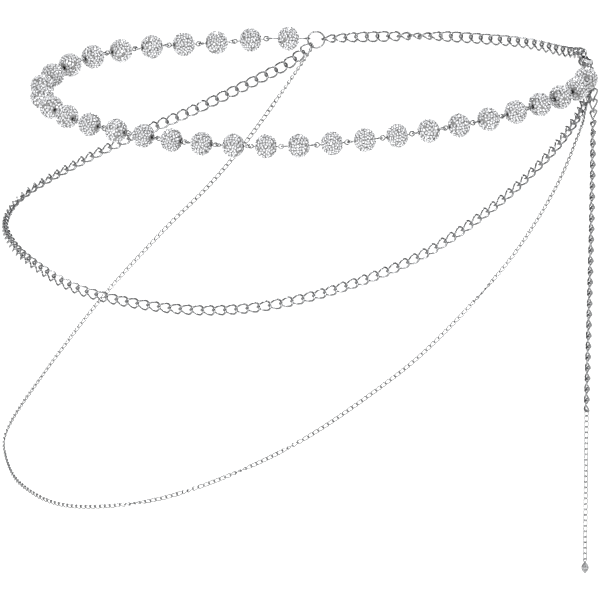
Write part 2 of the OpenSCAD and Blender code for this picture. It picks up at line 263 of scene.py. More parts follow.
FINE_POINTS = [
    (-0.007, 0.082, -0.014), (-0.026, 0.082, -0.042), (-0.044, 0.080, -0.064),
    (-0.065, 0.074, -0.084), (-0.092, 0.057, -0.110), (-0.118, 0.027, -0.137),
    (-0.131, 0.002, -0.151), (-0.132, -0.014, -0.158), (-0.125, -0.042, -0.163),
    (-0.106, -0.068, -0.1646), (-0.074, -0.088, -0.1574), (-0.044, -0.096, -0.1463),
    (-0.008, -0.099, -0.1283), (0.026, -0.093, -0.1065), (0.051, -0.084, -0.0877),
    (0.082, -0.062, -0.059), (0.102, -0.038, -0.034), (0.1125, -0.019, -0.0145),
    (0.1153, -0.006, -0.009), (0.1167, 0.0006, -0.002),
]
EXTENDER_POINTS = [
    (0.020, 0.080, 0.001), (0.051, 0.0725, 0.0035), (0.075, 0.062, 0.005),
    (0.092, 0.050, 0.0065), (0.108, 0.031, 0.008),
]
# Route of the hanging tail, first as curb chain and then as fine chain
TAIL_POINTS = [
    (0.1182, 0.0135, 0.001), (0.1193, 0.013, -0.007), (0.1189, 0.013, -0.055),
    (0.1177, 0.013, -0.110),
]
TAIL_CHANGE = Vector((0.1168, 0.013, -0.1463))
TAIL_END = Vector((0.1163, 0.013, -0.2127))

# Lean of the tail's flat face from the clasp's own way towards the wearer's side, in degrees
TAIL_LEAN = 40

# Twist of a chain's flat face: distance from one end of it, degrees
DRAPE_TWIST = [
    (0, 50), (0.026, 0), (0.075, 0), (0.095, -22), (0.160, -30), (0.190, 0), (0.240, 0),
    (0.300, 20), (0.480, 20), (0.510, 0),
]
DRAPE_END_TWIST = [(0, 50), (0.026, 0)]
EXTENDER_TWIST = [(0, 50), (0.022, 0), (0.026, 0), (0.038, 62), (0.043, 62), (0.056, 0)]
EXTENDER_END_TWIST = [(0, 40), (0.026, 0)]
TAIL_TWIST = [(0, 0), (0.018, 0), (0.034, -38), (0.160, -38)]
FINE_TWIST = [
    (0, 75), (0.026, 70), (0.036, 0), (0.333, 0), (0.341, 80), (0.349, 0), (0.360, 0),
    (0.367, -80), (0.374, 0), (0.384, 0), (0.391, 80), (0.398, 0), (0.407, 0), (0.415, -80),
    (0.423, 0), (0.513, 0), (0.521, 80), (0.529, 0),
]
FINE_END_TWIST = [(0, 30), (0.020, 0)]
NO_TWIST = [(0, 0)]


def table_value(table, key):
    """Value at a key of a table of (key, value) rows, between rows in a straight line."""
    if key <= table[0][0]:
        return table[0][1]
    for (key_a, value_a), (key_b, value_b) in zip(table, table[1:]):
        if key <= key_b:
            return value_a + (value_b - value_a) * (key - key_a) / (key_b - key_a)
    return table[-1][1]


class Route:
    """A smooth way through points, in steps between each two, measured along its length."""

    STEPS = 10

    def __init__(self, points):
        points = [Vector(p) for p in points]
        first = 2 * points[0] - points[1]
        last = 2 * points[-1] - points[-2]
        knots = [first] + points + [last]
        self.points = []
        for a, b, c, d in zip(knots, knots[1:], knots[2:], knots[3:]):
            for k in range(self.STEPS):
                t = k / self.STEPS
                bend = 2 * a - 5 * b + 4 * c - d + t * (3 * b - a - 3 * c + d)
                self.points.append(b + t / 2 * (c - a + t * bend))
        self.points.append(points[-1])
        self.distances = [0.0]
        for p, q in zip(self.points, self.points[1:]):
            self.distances.append(self.distances[-1] + (q - p).length)
        self.length = self.distances[-1]

    def at(self, distance):
        """Point at a distance from the start."""
        distance = min(max(distance, 0.0), self.length)
        i = min(max(bisect.bisect_right(self.distances, distance), 1), len(self.points) - 1)
        low, high = self.distances[i - 1], self.distances[i]
        return self.points[i - 1].lerp(self.points[i], (distance - low) / (high - low))


def outward(point):
    """The way out of the body at a place on the hips."""
    return Vector((point.x / WAIST_X**2, point.y / WAIST_Y**2, 0)).normalized()


def square_to(way, facing):
    """The part of a facing that is square to a way."""
    return (facing - facing.dot(way) * way).normalized()


def from_axes(x, y, z, at):
    """Placement whose axes lie along x, y and z."""
    placement = Matrix((x, y, z)).transposed().to_4x4()
    placement.translation = at
    return placement


def placed(at, way, facing):
    """Placement with its x axis along a way and its z axis near a facing."""
    z = square_to(way, facing)
    return from_axes(way, z.cross(way), z, at)


def between(a, b, facing):
    """Placement half way from a to b, with its x axis along them."""
    return placed((a + b) / 2, (b - a).normalized(), facing)


RING_Y = CLASP_RING_WAY.normalized()
RING_Z = square_to(RING_Y, Z)
CLASP_Y = CLASP_WAY.normalized()
CLASP_Z = square_to(
    CLASP_Y, Vector((math.sin(math.radians(CLASP_ROLL)), 0, math.cos(math.radians(CLASP_ROLL))))
)
CLASP_X = CLASP_Y.cross(CLASP_Z)


def ring_form(node, sizes):
    """A ring's middle, its two ways from there, and its radius to the middle of its wire."""
    if node == "back_ring":
        return BACK_RING_AT, X, Z, (box_size(node).x - sizes.ring_wire_d) / 2
    return CLASP_RING_AT, -RING_Y, -RING_Z, CLASP_RING_R


def ring_point(node, degrees, sizes, out=0):
    """A place on the middle of a ring's wire, or a distance out from there."""
    middle, across, up, radius = ring_form(node, sizes)
    turn = math.radians(degrees)
    return middle + (radius + out) * (math.cos(turn) * across + math.sin(turn) * up)


def ring_route(start_degrees, points, end_degrees, sizes, out):
    """A route through points from the large ring to the clasp's, a distance out from both."""
    start_at = ring_point("back_ring", start_degrees, sizes, out)
    return Route([start_at, *points, ring_point("clasp_ring", end_degrees, sizes, out)])


def length(name, text, default):
    """A size that the user can change."""
    return FloatProperty(
        name=name, description=text, default=default, min=0, unit="LENGTH", precision=5
    )


def angle(name, text, degrees):
    """A turn that the user can change."""
    return FloatProperty(
        name=name, description=text, default=math.radians(degrees), unit="ROTATION"
    )


def linear(hex_colour):
    """Linear colour of an sRGB hex value."""
    channels = [int(hex_colour[i:i + 2], 16) / 255 for i in (1, 3, 5)]
    return tuple(c / 12.92 if c <= 0.04045 else ((c + 0.055) / 1.055) ** 2.4 for c in channels)


def colour(name, text, hex_colour):
    """A colour that the user can change."""
    return FloatVectorProperty(
        name=name, description=text, default=linear(hex_colour), subtype="COLOR", min=0, max=1
    )


class WaistBeads(bpy.types.PropertyGroup):
    """Sizes of the beads and of the pins through them."""

    bead_d: length("Bead", "Diameter of a bead over its stones", box_size("bead_01").z)
    bead_l: length("Bead length", "Length of a bead along its hole", 0.0096)
    stone_d: length("Stone", "Diameter of a stone at its girdle", 0.00130)
    stones: IntProperty(name="Stones", description="Stones all over a ball", default=178, min=40)
    core_share: FloatProperty(
        name="Core", description="Diameter of the clay core as a share of the bead's", default=0.94
    )
    bore_d: length("Bore", "Diameter of the hole through a bead", 0.0016)
    pin_wire_d: length("Pin wire", "Thickness of a pin's wire", 0.0006)
    eye_d: length("Pin eye", "Outer diameter of a pin's eye", 0.00265)
    ring_wire_d: length("Ring wire", "Thickness of both rings' wire", box_size("back_ring").y)


class WaistChains(bpy.types.PropertyGroup):
    """Sizes of the curb chain and of the fine chain."""

    link_wire_d: length("Link wire", "Thickness of a curb link's wire", 0.00088)
    link_pitch: length("Link pitch", "Distance from one curb link to the next", 0.0048)
    link_w: length("Link width", "Outer width of a curb link before its twist", 0.0052)
    tip_turn: angle("Tip turn", "Turn of a curb link's tip out of its flat face", 44)
    fine_wire_d: length("Fine wire", "Thickness of a fine link's wire", 0.00046)
    fine_pitch: length("Fine pitch", "Distance from one fine link to the next", 0.0025)
    fine_w: length("Fine width", "Outer width of a fine link before its twist", 0.0021)


class WaistClasp(bpy.types.PropertyGroup):
    """Sizes of the clasp."""

    reach: length("Reach", "From the clasp's eye to the wire at the top of its hook", 0.0102)
    base_t: length("Base", "Thickness of the clasp's base", 0.0026)
    eye_play: length("Eye play", "Hole of the clasp's eye past the ring's wire", 0.0015)
    eye_rim: length("Eye rim", "Thickness of the eye's rim", 0.00075)
    hook_r: length("Hook", "Radius of the hook, to the middle of its wire", 0.0023)
    arm_r: length("Arm", "Radius of the curve from the base to the hook", 0.0085)
    hook_wire_d: length("Hook wire", "Thickness of the hook's wire", 0.0014)
    lever_t: length("Lever", "Thickness of the lever", 0.0012)
    boss_r: length("Boss", "Radius of the lever's boss round the pivot", 0.00095)
    finger_d: length("Finger", "Thickness of the lever's finger and tab", 0.001)
    pivot_d: length("Pivot", "Diameter of the lever's pivot pin", 0.0008)


class WaistDrop(bpy.types.PropertyGroup):
    """Sizes of the cut drop."""

    width: length("Width", "Width of the drop", box_size("cut_drop").x)
    height: length("Height", "Height of the drop", box_size("cut_drop").z)
    wire_d: length("Wire", "Thickness of the drop's pin", 0.0005)
    eye_r: length("Eye", "Radius of the pin's eye, to the middle of its wire", 0.00075)
    head_r: length("Head", "Radius of the pin's flat head", 0.0005)


class WaistFinish(bpy.types.PropertyGroup):
    """Colours of the finishes and of the stage."""

    plate: colour("Plate", "Bright rhodium plate", "#909193")
    crystal: colour("Crystal", "Foil-backed clear crystal", "#F6F7FA")
    clay: colour("Clay", "Clay that the stones are set in", "#8E8E8E")
    floor: colour("Floor", "Pale matt floor", "#FBFBFA")


class WaistStudio(bpy.types.PropertyGroup):
    """The camera and the light."""

    camera_rise: angle("Camera rise", "Height of the camera above the horizon", 16.15)
    camera_away: length("Camera distance", "From the camera to the middle of the view", 11.0)
    view_width: length("View width", "Width of what the camera sees", 0.25636)
    floor_drop: length("Floor", "Depth of the floor below the waist", 0.36)
    light: FloatProperty(name="Light", description="Strength of the soft lights", default=1.0)


def add_node(tree, kind, values=None, links=None, **settings):
    """Adds a node with its settings, its input values and the sockets linked to its inputs."""
    node = tree.nodes.new(kind)
    for name, value in settings.items():
        setattr(node, name, value)
    for socket, value in (values or {}).items():
        node.inputs[socket].default_value = value
    for socket, source in (links or {}).items():
        tree.links.new(source, node.inputs[socket])
    return node


def new_material(name):
    """An empty material and its node tree."""
    material = bpy.data.materials.new(name)
    material.use_nodes = True
    material.node_tree.nodes.clear()
    return material, material.node_tree


def finish_material(material, shader):
    """Sends a shader to the material's surface."""
    add_node(material.node_tree, "ShaderNodeOutputMaterial", links={"Surface": shader.outputs[0]})
    return material


def opaque(rgb, share=1):
    """A share of a linear colour, with its alpha."""
    return (*(c * share for c in rgb), 1.0)


def rhodium_plate(name, rgb, roughness):
    """Rhodium plate over polished brass: a bright cool-grey mirror that dulls a little in patches
    a few millimetres wide, with polishing marks about 0.15 mm apart."""
    material, tree = new_material(name)
    place = add_node(tree, "ShaderNodeTexCoord").outputs["Object"]
    patches = add_node(
        tree, "ShaderNodeTexNoise", {"Scale": 1 / (6 * MM), "Detail": 3.0}, {"Vector": place}
    )
    marks = add_node(
        tree, "ShaderNodeTexNoise", {"Scale": 1 / (0.15 * MM), "Detail": 2.0}, {"Vector": place}
    )
    dull = add_node(
        tree, "ShaderNodeMapRange",
        {"From Min": 0.3, "From Max": 0.7, "To Min": roughness * 0.75, "To Max": roughness * 1.5},
        {"Value": patches.outputs["Fac"]},
    )
    tone = add_node(
        tree, "ShaderNodeMix", {"A": opaque(rgb, 0.86), "B": opaque(rgb)},
        {"Factor": patches.outputs["Fac"]}, data_type="RGBA",
    )
    bump = add_node(
        tree, "ShaderNodeBump", {"Strength": 0.12, "Distance": 0.01 * MM},
        {"Height": marks.outputs["Fac"]},
    )
    shader = add_node(
        tree, "ShaderNodeBsdfPrincipled", {"Metallic": 1.0},
        {"Base Color": tone.outputs["Result"], "Roughness": dull.outputs["Result"],
         "Normal": bump.outputs["Normal"]},
    )
    return finish_material(material, shader)


def foiled_crystal(rgb):
    """Clear lead-free crystal chatons with a silvered foil back, cut and polished. The part of the
    room that each facet throws back is painted into its colour as a painted reflection, white, grey
    or nearly black, and each stone differs at random in tone."""
    material, tree = new_material("foiled_crystal")
    # Painted reflection of each facet, multiplied into each stone's colour
    painted_reflection = add_node(tree, "ShaderNodeAttribute", attribute_name=PAINTED_FACET_REFLECTION).outputs["Fac"]
    stone = add_node(tree, "ShaderNodeNewGeometry").outputs["Random Per Island"]
    tint = add_node(tree, "ShaderNodeValToRGB", links={"Fac": stone})
    ramp = tint.color_ramp
    ramp.elements[0].color = opaque(rgb, 0.35)
    ramp.elements[1].position = 0.25
    ramp.elements[1].color = opaque(rgb)
    tone = add_node(
        tree, "ShaderNodeMix", {"Factor": 1.0}, {"A": tint.outputs["Color"], "B": painted_reflection},
        data_type="RGBA", blend_type="MULTIPLY",
    )
    shader = add_node(
        tree, "ShaderNodeBsdfPrincipled",
        {"Metallic": 0.1, "Roughness": 0.1, "Specular IOR Level": 0.3},
        {"Base Color": tone.outputs["Result"]},
    )
    return finish_material(material, shader)


def bead_clay(rgb):
    """Two-part epoxy clay, grey and satin, pressed smooth between the stones with a grain of
    about 0.3 mm."""
    material, tree = new_material("epoxy_clay")
    place = add_node(tree, "ShaderNodeTexCoord").outputs["Object"]
    grain = add_node(
        tree, "ShaderNodeTexNoise", {"Scale": 1 / (0.3 * MM), "Detail": 3.0}, {"Vector": place}
    )
    tone = add_node(
        tree, "ShaderNodeMix", {"A": opaque(rgb, 0.7), "B": opaque(rgb)},
        {"Factor": grain.outputs["Fac"]}, data_type="RGBA",
    )
    bump = add_node(
        tree, "ShaderNodeBump", {"Strength": 0.4, "Distance": 0.03 * MM},
        {"Height": grain.outputs["Fac"]},
    )
    shader = add_node(
        tree, "ShaderNodeBsdfPrincipled", {"Roughness": 0.42},
        {"Base Color": tone.outputs["Result"], "Normal": bump.outputs["Normal"]},
    )
    return finish_material(material, shader)


def cut_crystal(rgb):
    """Cut and polished clear crystal with almost no haze: each facet shows another part of the
    room, through the stone or thrown back from the facets behind it, and that is painted into its
    colour as a painted reflection, darker or lighter grey from facet to facet."""
    material, tree = new_material("cut_clear_crystal")
    place = add_node(tree, "ShaderNodeTexCoord").outputs["Object"]
    haze = add_node(
        tree, "ShaderNodeTexNoise", {"Scale": 1 / (1.2 * MM), "Detail": 1.0}, {"Vector": place}
    )
    rough = add_node(
        tree, "ShaderNodeMapRange", {"To Min": 0.0, "To Max": 0.04}, {"Value": haze.outputs["Fac"]}
    )
    # Painted reflection of each facet, between 0.15 and 0.65 of the crystal's colour
    painted_reflection = add_node(tree, "ShaderNodeAttribute", attribute_name=PAINTED_FACET_REFLECTION).outputs["Fac"]
    tones = {"A": opaque(rgb, 0.15), "B": opaque(rgb, 0.65)}
    tone = add_node(tree, "ShaderNodeMix", tones, {"Factor": painted_reflection}, data_type="RGBA")
    shader = add_node(
        tree, "ShaderNodeBsdfPrincipled", {"IOR": 1.56, "Transmission Weight": 0.35},
        {"Base Color": tone.outputs["Result"], "Roughness": rough.outputs["Result"]},
    )
    return finish_material(material, shader)


def matt_floor(rgb):
    """Pale matt painted board, with a faint mottle about 125 mm across."""
    material, tree = new_material("pale_painted_board")
    place = add_node(tree, "ShaderNodeTexCoord").outputs["Object"]
    mottle = add_node(
        tree, "ShaderNodeTexNoise", {"Scale": 1 / (125 * MM), "Detail": 2.0}, {"Vector": place}
    )
    tone = add_node(
        tree, "ShaderNodeMix", {"A": opaque(rgb, 0.985), "B": opaque(rgb)},
        {"Factor": mottle.outputs["Fac"]}, data_type="RGBA",
    )
    shader = add_node(
        tree, "ShaderNodeBsdfPrincipled", {"Roughness": 0.85, "Specular IOR Level": 0.2},
        {"Base Color": tone.outputs["Result"]},
    )
    return finish_material(material, shader)


def shared_plate(context, name, share, roughness):
    """The plate under a name, at a share of its colour, made once for all that wear it."""
    rgb = [share * c for c in context.scene.waist_finish.plate]
    return bpy.data.materials.get(name) or rhodium_plate(name, rgb, roughness)


def cast_material(context):
    """The same plate over cast metal, as it comes from the tumbler: softer and a little darker."""
    return shared_plate(context, "rhodium_on_cast_brass", 0.9, 0.3)


def plate_material(context):
    """The plate over drawn and polished wire, on the chains, pins and rings."""
    return shared_plate(context, "rhodium_plate", 1, 0.26)


def deselect():
    """Leaves nothing selected."""
    if bpy.context.object and bpy.context.object.mode != "OBJECT":
        bpy.ops.object.mode_set(mode="OBJECT")
    bpy.ops.object.select_all(action="DESELECT")


def make_active(obj):
    """Selects one object alone."""
    deselect()
    obj.select_set(True)
    bpy.context.view_layer.objects.active = obj


def start(add, name, **how):
    """Adds a primitive under a name, with nothing else selected."""
    deselect()
    add(**how)
    obj = bpy.context.object
    obj.name = name
    obj.data.name = name
    return obj


def select_where(obj, wanted, kind="verts"):
    """Selects, in edit mode, the vertices or faces of obj that a test picks."""
    make_active(obj)
    bpy.ops.object.mode_set(mode="EDIT")
    bpy.ops.mesh.select_mode(type={"verts": "VERT", "faces": "FACE"}[kind])
    bpy.ops.mesh.select_all(action="DESELECT")
    mesh = bmesh.from_edit_mesh(obj.data)
    for part in getattr(mesh, kind):
        if wanted(part):
            part.select_set(True)
    mesh.select_flush_mode()
    bmesh.update_edit_mesh(obj.data)


def object_mode():
    """Leaves edit mode."""
    bpy.ops.object.mode_set(mode="OBJECT")


def apply_modifier(obj, kind, **settings):
    """Adds a modifier with its settings and applies it."""
    make_active(obj)
    modifier = obj.modifiers.new(kind.title(), kind)
    for name, value in settings.items():
        setattr(modifier, name, value)
    bpy.ops.object.modifier_apply(modifier=modifier.name)


def cut(obj, tool):
    """Cuts a tool out of obj and removes the tool."""
    apply_modifier(obj, "BOOLEAN", object=tool, operation="DIFFERENCE", solver="EXACT")
    bpy.data.objects.remove(tool)


def place(obj, placement):
    """Moves a mesh to its place, with its object left at the origin."""
    obj.data.transform(obj.matrix_basis)
    obj.matrix_basis = Matrix.Identity(4)
    obj.data.transform(placement)
    return obj


def copy_at(model, placement, name):
    """A copy of a model, with its own mesh, at a placement."""
    mesh = model.data.copy()
    mesh.name = name
    mesh.transform(placement)
    obj = bpy.data.objects.new(name, mesh)
    bpy.context.scene.collection.objects.link(obj)
    return obj


def join(objects, name):
    """Joins objects into one piece."""
    deselect()
    for obj in objects:
        obj.select_set(True)
    bpy.context.view_layer.objects.active = objects[0]
    if len(objects) > 1:
        bpy.ops.object.join()
    objects[0].name = name
    objects[0].data.name = name
    return objects[0]


def copies(model, placements, name):
    """One piece of many copies of a model."""
    return join([copy_at(model, p, name) for p in placements], name)


def smooth(obj, degrees):
    """Shades edges smooth up to a turn and leaves the sharper ones sharp."""
    make_active(obj)
    bpy.ops.object.shade_smooth_by_angle(angle=math.radians(degrees))


def dress(obj, *materials):
    """Gives a piece its materials."""
    obj.data.materials.clear()
    for material in materials:
        obj.data.materials.append(material)
    return obj


def hand_over(obj, body, node):
    """Makes a finished piece ride on a body and stand for a CAD node."""
    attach(obj, body)
    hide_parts(node)


def wire(name, points, wire_d, sides=8, thins=None):
    """A wire of round section through points; thins gives the share of the thickness at each."""
    deselect()
    path = bpy.data.curves.new(name, "CURVE")
    path.dimensions = "3D"
    path.bevel_depth = wire_d / 2
    path.bevel_resolution = sides // 2 - 2
    path.use_fill_caps = True
    spline = path.splines.new("POLY")
    spline.points.add(len(points) - 1)
    for i, point in enumerate(points):
        spline.points[i].co = (*point, 1)
        spline.points[i].radius = thins[i] if thins else 1
    obj = bpy.data.objects.new(name, path)
    bpy.context.scene.collection.objects.link(obj)
    make_active(obj)
    bpy.ops.object.convert(target="MESH")
    return bpy.context.object


def arc(middle, across, up, radius, start_degrees, end_degrees, steps):
    """Points of an arc in the plane of two ways."""
    points = []
    for i in range(steps + 1):
        turn = math.radians(start_degrees + (end_degrees - start_degrees) * i / steps)
        points.append(middle + radius * (math.cos(turn) * across + math.sin(turn) * up))
    return points


def eye_step(sizes):
    """Distance between the middles of two packed eyes that hook into each other."""
    return sizes.eye_d - 2 * CAD_PIN_WIRE - HOOK_GAP


def strand_joints(sizes):
    """The joints of the strand: point k lies between bead k and the next one. The first and the
    last lie beside a ring's wire, so that the eye there seats on it with a little free space."""
    eye_r = (sizes.eye_d - CAD_PIN_WIRE) / 2
    seat = eye_step(sizes) / 2
    seat += CAD_PIN_WIRE / 2 + sizes.ring_wire_d / 2 + 0.75 * HOOK_GAP - eye_r
    route = ring_route(BACK_RING_STRAND, STRAND_POINTS, CLASP_RING_STRAND, sizes, -seat)
    count = bead_count()
    return [
        route.at(route.length * table_value(STRAND_SPREAD, k / count)) for k in range(count + 1)
    ]


def bead_count():
    """Number of beads in the packed model."""
    return sum(name.startswith("bead_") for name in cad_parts)


def scattered_ways(count, chance):
    """Ways out of a ball's middle, strewn at random and then pushed apart until they lie close
    together with no rows, as stones set by hand do."""
    ways = [Vector([chance.gauss(0, 1) for axis in "xyz"]).normalized() for k in range(count)]
    # Spacing of that many points in a net of even triangles all over the ball
    spacing = math.sqrt(8 * math.pi / (math.sqrt(3) * count))
    for turn in range(PUSH_TURNS):
        pushes = []
        for way in ways:
            gaps = [way - other for other in ways if other is not way]
            near = [gap for gap in gaps if gap.length < spacing]
            parts = (gap.normalized() * (spacing - gap.length) for gap in near)
            pushes.append(sum(parts, Vector()))
        ways = [(way + PUSH_SHARE * push).normalized() for way, push in zip(ways, pushes)]
    return ways


def facet_tone(rise, around):
    """Painted reflection of a stone's facet, from its normal's height and its turn round the stone
    in degrees: one side of the stone is painted dark, as though it mirrored the dark part of the
    room."""
    if rise < GIRDLE_RISE:
        return GIRDLE_PAINTED_REFLECTION
    tones, dark = (TABLE_PAINTED_REFLECTIONS, TABLE_DARK) if rise > TABLE_RISE else (CROWN_PAINTED_REFLECTIONS, CROWN_DARK)
    return tones[0] if around < dark else tones[1]


def model_stone(sizes):
    """One chaton: an octagonal table, 16 crown facets, a girdle and a flat foot in the clay."""
    crown = CROWN_SHARE * sizes.stone_d
    foot = FOOT_SHARE * sizes.stone_d
    stone = start(
        bpy.ops.mesh.primitive_cylinder_add, "stone", vertices=8, radius=sizes.stone_d / 2,
        depth=foot, end_fill_type="NGON",
    )
    select_where(stone, lambda face: face.normal.z > TABLE_RISE, "faces")
    bpy.ops.mesh.extrude_region_move(TRANSFORM_OT_translate={"value": (0, 0, crown)})
    bpy.ops.transform.resize(value=(TABLE_SHARE, TABLE_SHARE, 1))
    bpy.ops.transform.rotate(
        value=math.radians(22.5), orient_axis="Z", center_override=(0, 0, foot / 2 + crown)
    )
    object_mode()
    select_where(stone, lambda face: GIRDLE_RISE < face.normal.z < TABLE_RISE, "faces")
    bpy.ops.mesh.quads_convert_to_tris(quad_method="SHORTEST_DIAGONAL")
    object_mode()
    select_where(stone, lambda face: face.normal.z > TABLE_RISE, "faces")
    bpy.ops.mesh.poke()
    object_mode()
    # Each facet gets a painted reflection: dark on the side that would mirror the dark part of the
    # room, light on the other side, and dark on the girdle
    tones = stone.data.attributes.new(PAINTED_FACET_REFLECTION, "FLOAT", "FACE")
    for face, tone in zip(stone.data.polygons, tones.data):
        around = math.degrees(math.atan2(face.center.y, face.center.x))
        tone.value = facet_tone(face.normal.z, abs(around))
    return stone


def model_bead(context, chance):
    """One ball bead along x: a drilled clay core set with stones all over but round its bore."""
    sizes = context.scene.waist_beads
    core_r = sizes.bead_d * sizes.core_share / 2
    core = start(
        bpy.ops.mesh.primitive_uv_sphere_add, "core", segments=24, ring_count=16, radius=core_r
    )
    bore = start(
        bpy.ops.mesh.primitive_cylinder_add, "bore", vertices=16, radius=sizes.bore_d / 2,
        depth=sizes.bead_d,
    )
    cut(core, bore)
    smooth(core, SMOOTH_CAST)
    clay = bead_clay(context.scene.waist_finish.clay)
    crystal = foiled_crystal(context.scene.waist_finish.crystal)
    dress(core, clay, crystal)
    stone = model_stone(sizes)
    dress(stone, clay, crystal)
    for face in stone.data.polygons:
        face.material_index = 1
    girdle_r = sizes.bead_d / 2 - (CROWN_SHARE + FOOT_SHARE / 2) * sizes.stone_d
    bore_r = (sizes.bore_d + STONE_CLEAR * sizes.stone_d) / 2
    ways = scattered_ways(sizes.stones, chance)
    placements = []
    for way in ways:
        if girdle_r * way.xy.length < bore_r:
            continue
        room = girdle_r * min((way - other).length for other in ways if other is not way)
        lean = Matrix.Rotation(chance.uniform(-STONE_LEAN, STONE_LEAN), 4, "X")
        lean = lean @ Matrix.Rotation(chance.uniform(-STONE_LEAN, STONE_LEAN), 4, "Y")
        placements.append(
            Matrix.Translation(girdle_r * way)
            @ way.to_track_quat("Z", "X").to_matrix().to_4x4()
            @ lean
            @ Matrix.Rotation(chance.uniform(0, math.tau), 4, "Z")
            @ Matrix.Scale(min(max(room / sizes.stone_d, STONE_LEAST), STONE_MOST), 4)
        )
    stones = copies(stone, placements, "stones")
    bpy.data.objects.remove(stone)
    bead = join([core, stones], "bead")
    squash = Matrix.Diagonal((1, 1, sizes.bead_l / sizes.bead_d, 1))
    return place(bead, Matrix.Rotation(math.radians(90), 4, "Y") @ squash)


def bead_name(k):
    """Name of the CAD node of bead k."""
    return f"bead_{k:02d}"


class WAIST_OT_beads(bpy.types.Operator):
    """Model one crystal-set ball bead and thread a copy of it on every pin"""

    bl_idname = "waist.beads"
    bl_label = "Crystal Beads"
    bl_options = {"REGISTER", "UNDO"}

    def execute(self, context):
        chance = random.Random(7)
        sizes = context.scene.waist_beads
        bead = model_bead(context, chance)
        joints = strand_joints(sizes)
        for k in range(1, bead_count() + 1):
            a, b = joints[k - 1], joints[k]
            spin = Matrix.Rotation(chance.uniform(0, math.tau), 4, "X")
            piece = copy_at(bead, between(a, b, Z) @ spin, f"crystal_bead_{k:02d}")
            hand_over(piece, "chain", bead_name(k))
        bpy.data.objects.remove(bead)
        return {"FINISHED"}


def eye_turn(k):
    """Turn of the eyes that meet at joint k of the strand, in degrees from upright: square to the
    rings at both ends, and between them now less and now more, as eyes hang that fall freely."""
    if k == 0:
        return 0
    if k == bead_count():
        return CLASP_ROLL
    return EYE_HANG + EYE_SWING * math.sin(math.radians(EYE_WAVE * k))


def eye_points(at, turn, side, radius, wire_d):
    """Points of an eye bent from the end of a pin along x, from its neck, which sets off a little
    sideways, round to its tip."""
    along = Vector((side, 0, 0))
    up = Vector((0, math.cos(turn), math.sin(turn)))
    middle = along * at
    straight = middle - along * (radius * NECK_STRAIGHT)
    bent = middle - along * (radius * NECK_BENT) - up * (wire_d * NECK_SIDE)
    bow = arc(middle, along, up, radius, EYE_START, EYE_START + EYE_SWEEP, EYE_STEPS)
    return [straight, bent] + bow


class WAIST_OT_pins(bpy.types.Operator):
    """Bend an eye at both ends of the wire pin of every bead"""

    bl_idname = "waist.pins"
    bl_label = "Eye Pins"
    bl_options = {"REGISTER", "UNDO"}

    def execute(self, context):
        sizes = context.scene.waist_beads
        joints = strand_joints(sizes)
        radius = (sizes.eye_d - sizes.pin_wire_d) / 2
        step = eye_step(sizes)
        pins = []
        for k in range(1, bead_count() + 1):
            a, b = joints[k - 1], joints[k]
            at = ((b - a).length - step) / 2
            first = math.radians(0 if k == 1 else eye_turn(k - 1) + 90)
            last = math.radians(eye_turn(k))
            points = eye_points(at, first, -1, radius, sizes.pin_wire_d)[::-1]
            points += eye_points(at, last, 1, radius, sizes.pin_wire_d)
            pin = wire("pin", points, sizes.pin_wire_d)
            pins.append(place(pin, between(a, b, Z)))
        piece = join(pins, "bent_eye_pins")
        smooth(piece, SMOOTH_WIRE)
        dress(piece, plate_material(context))
        hand_over(piece, "chain", "eye_pins")
        return {"FINISHED"}


class WAIST_OT_rings(bpy.types.Operator):
    """Bend the two jump rings, each with its hairline joint"""

    bl_idname = "waist.rings"
    bl_label = "Rings"
    bl_options = {"REGISTER", "UNDO"}

    def execute(self, context):
        sizes = context.scene.waist_beads
        cuts = {"back_ring": BACK_RING_CUT, "clasp_ring": CLASP_RING_CUT}
        for node, cut_at in cuts.items():
            middle, across, up, radius = ring_form(node, sizes)
            half = math.degrees(HALF_CUT / radius)
            turns = (cut_at + half, cut_at + 360 - half)
            points = arc(middle, across, up, radius, *turns, RING_STEPS)
            ring = wire("jump_" + node, points, sizes.ring_wire_d, sides=12)
            smooth(ring, SMOOTH_WIRE)
            dress(ring, plate_material(context))
            hand_over(ring, "chain", node)
        return {"FINISHED"}


def model_link(name, pitch, width, wire_d, tip_turn, slack, steps):
    """One curb link along x: an oval ring of wire whose two tips are twisted out of its face."""
    half_l = (pitch + wire_d + slack) / 2
    half_w = (width - wire_d) / 2
    segments, sides = steps
    link = start(
        bpy.ops.mesh.primitive_torus_add, name, major_segments=segments, minor_segments=sides,
        major_radius=half_w, minor_radius=wire_d / 2,
    )
    middle = wire_d / 4
    for side in (1, -1):
        select_where(link, lambda vert: vert.co.x * side > middle)
        bpy.ops.transform.translate(value=(side * (half_l - half_w), 0, 0))
        object_mode()
    apply_modifier(
        link, "SIMPLE_DEFORM", deform_method="TWIST", deform_axis="X",
        angle=-2 * tip_turn * (half_l + wire_d / 2) / half_l,
    )
    smooth(link, SMOOTH_WIRE)
    return link


def chain_placements(route, pitch, twist, end_twist, facing=None):
    """Placements of a curb chain's links from the start of its route to its end."""
    count = math.ceil(route.length / pitch - ROUNDING)
    step = route.length / count
    placements = []
    for i in range(count):
        a, b = route.at(i * step), route.at((i + 1) * step)
        flat = facing if facing else outward((a + b) / 2)
        degrees = table_value(twist, (i + 0.5) * step)
        degrees -= table_value(end_twist, (count - i - 0.5) * step)
        roll = Matrix.Rotation(math.radians(degrees), 4, "X")
        placements.append(between(a, b, flat) @ roll)
    return placements


def link_reach(chains):
    """From the middle of a link of the packed model to the middle of the wire at its tip."""
    return (chains.link_pitch + chains.link_wire_d + HOOK_GAP) / 2


def ring_seat(chains, beads):
    """From a ring's wire to where a chain that hangs on it starts."""
    seat = link_reach(chains) - chains.link_wire_d / 2 - beads.ring_wire_d / 2 - HOOK_GAP
    return seat - chains.link_pitch / 2


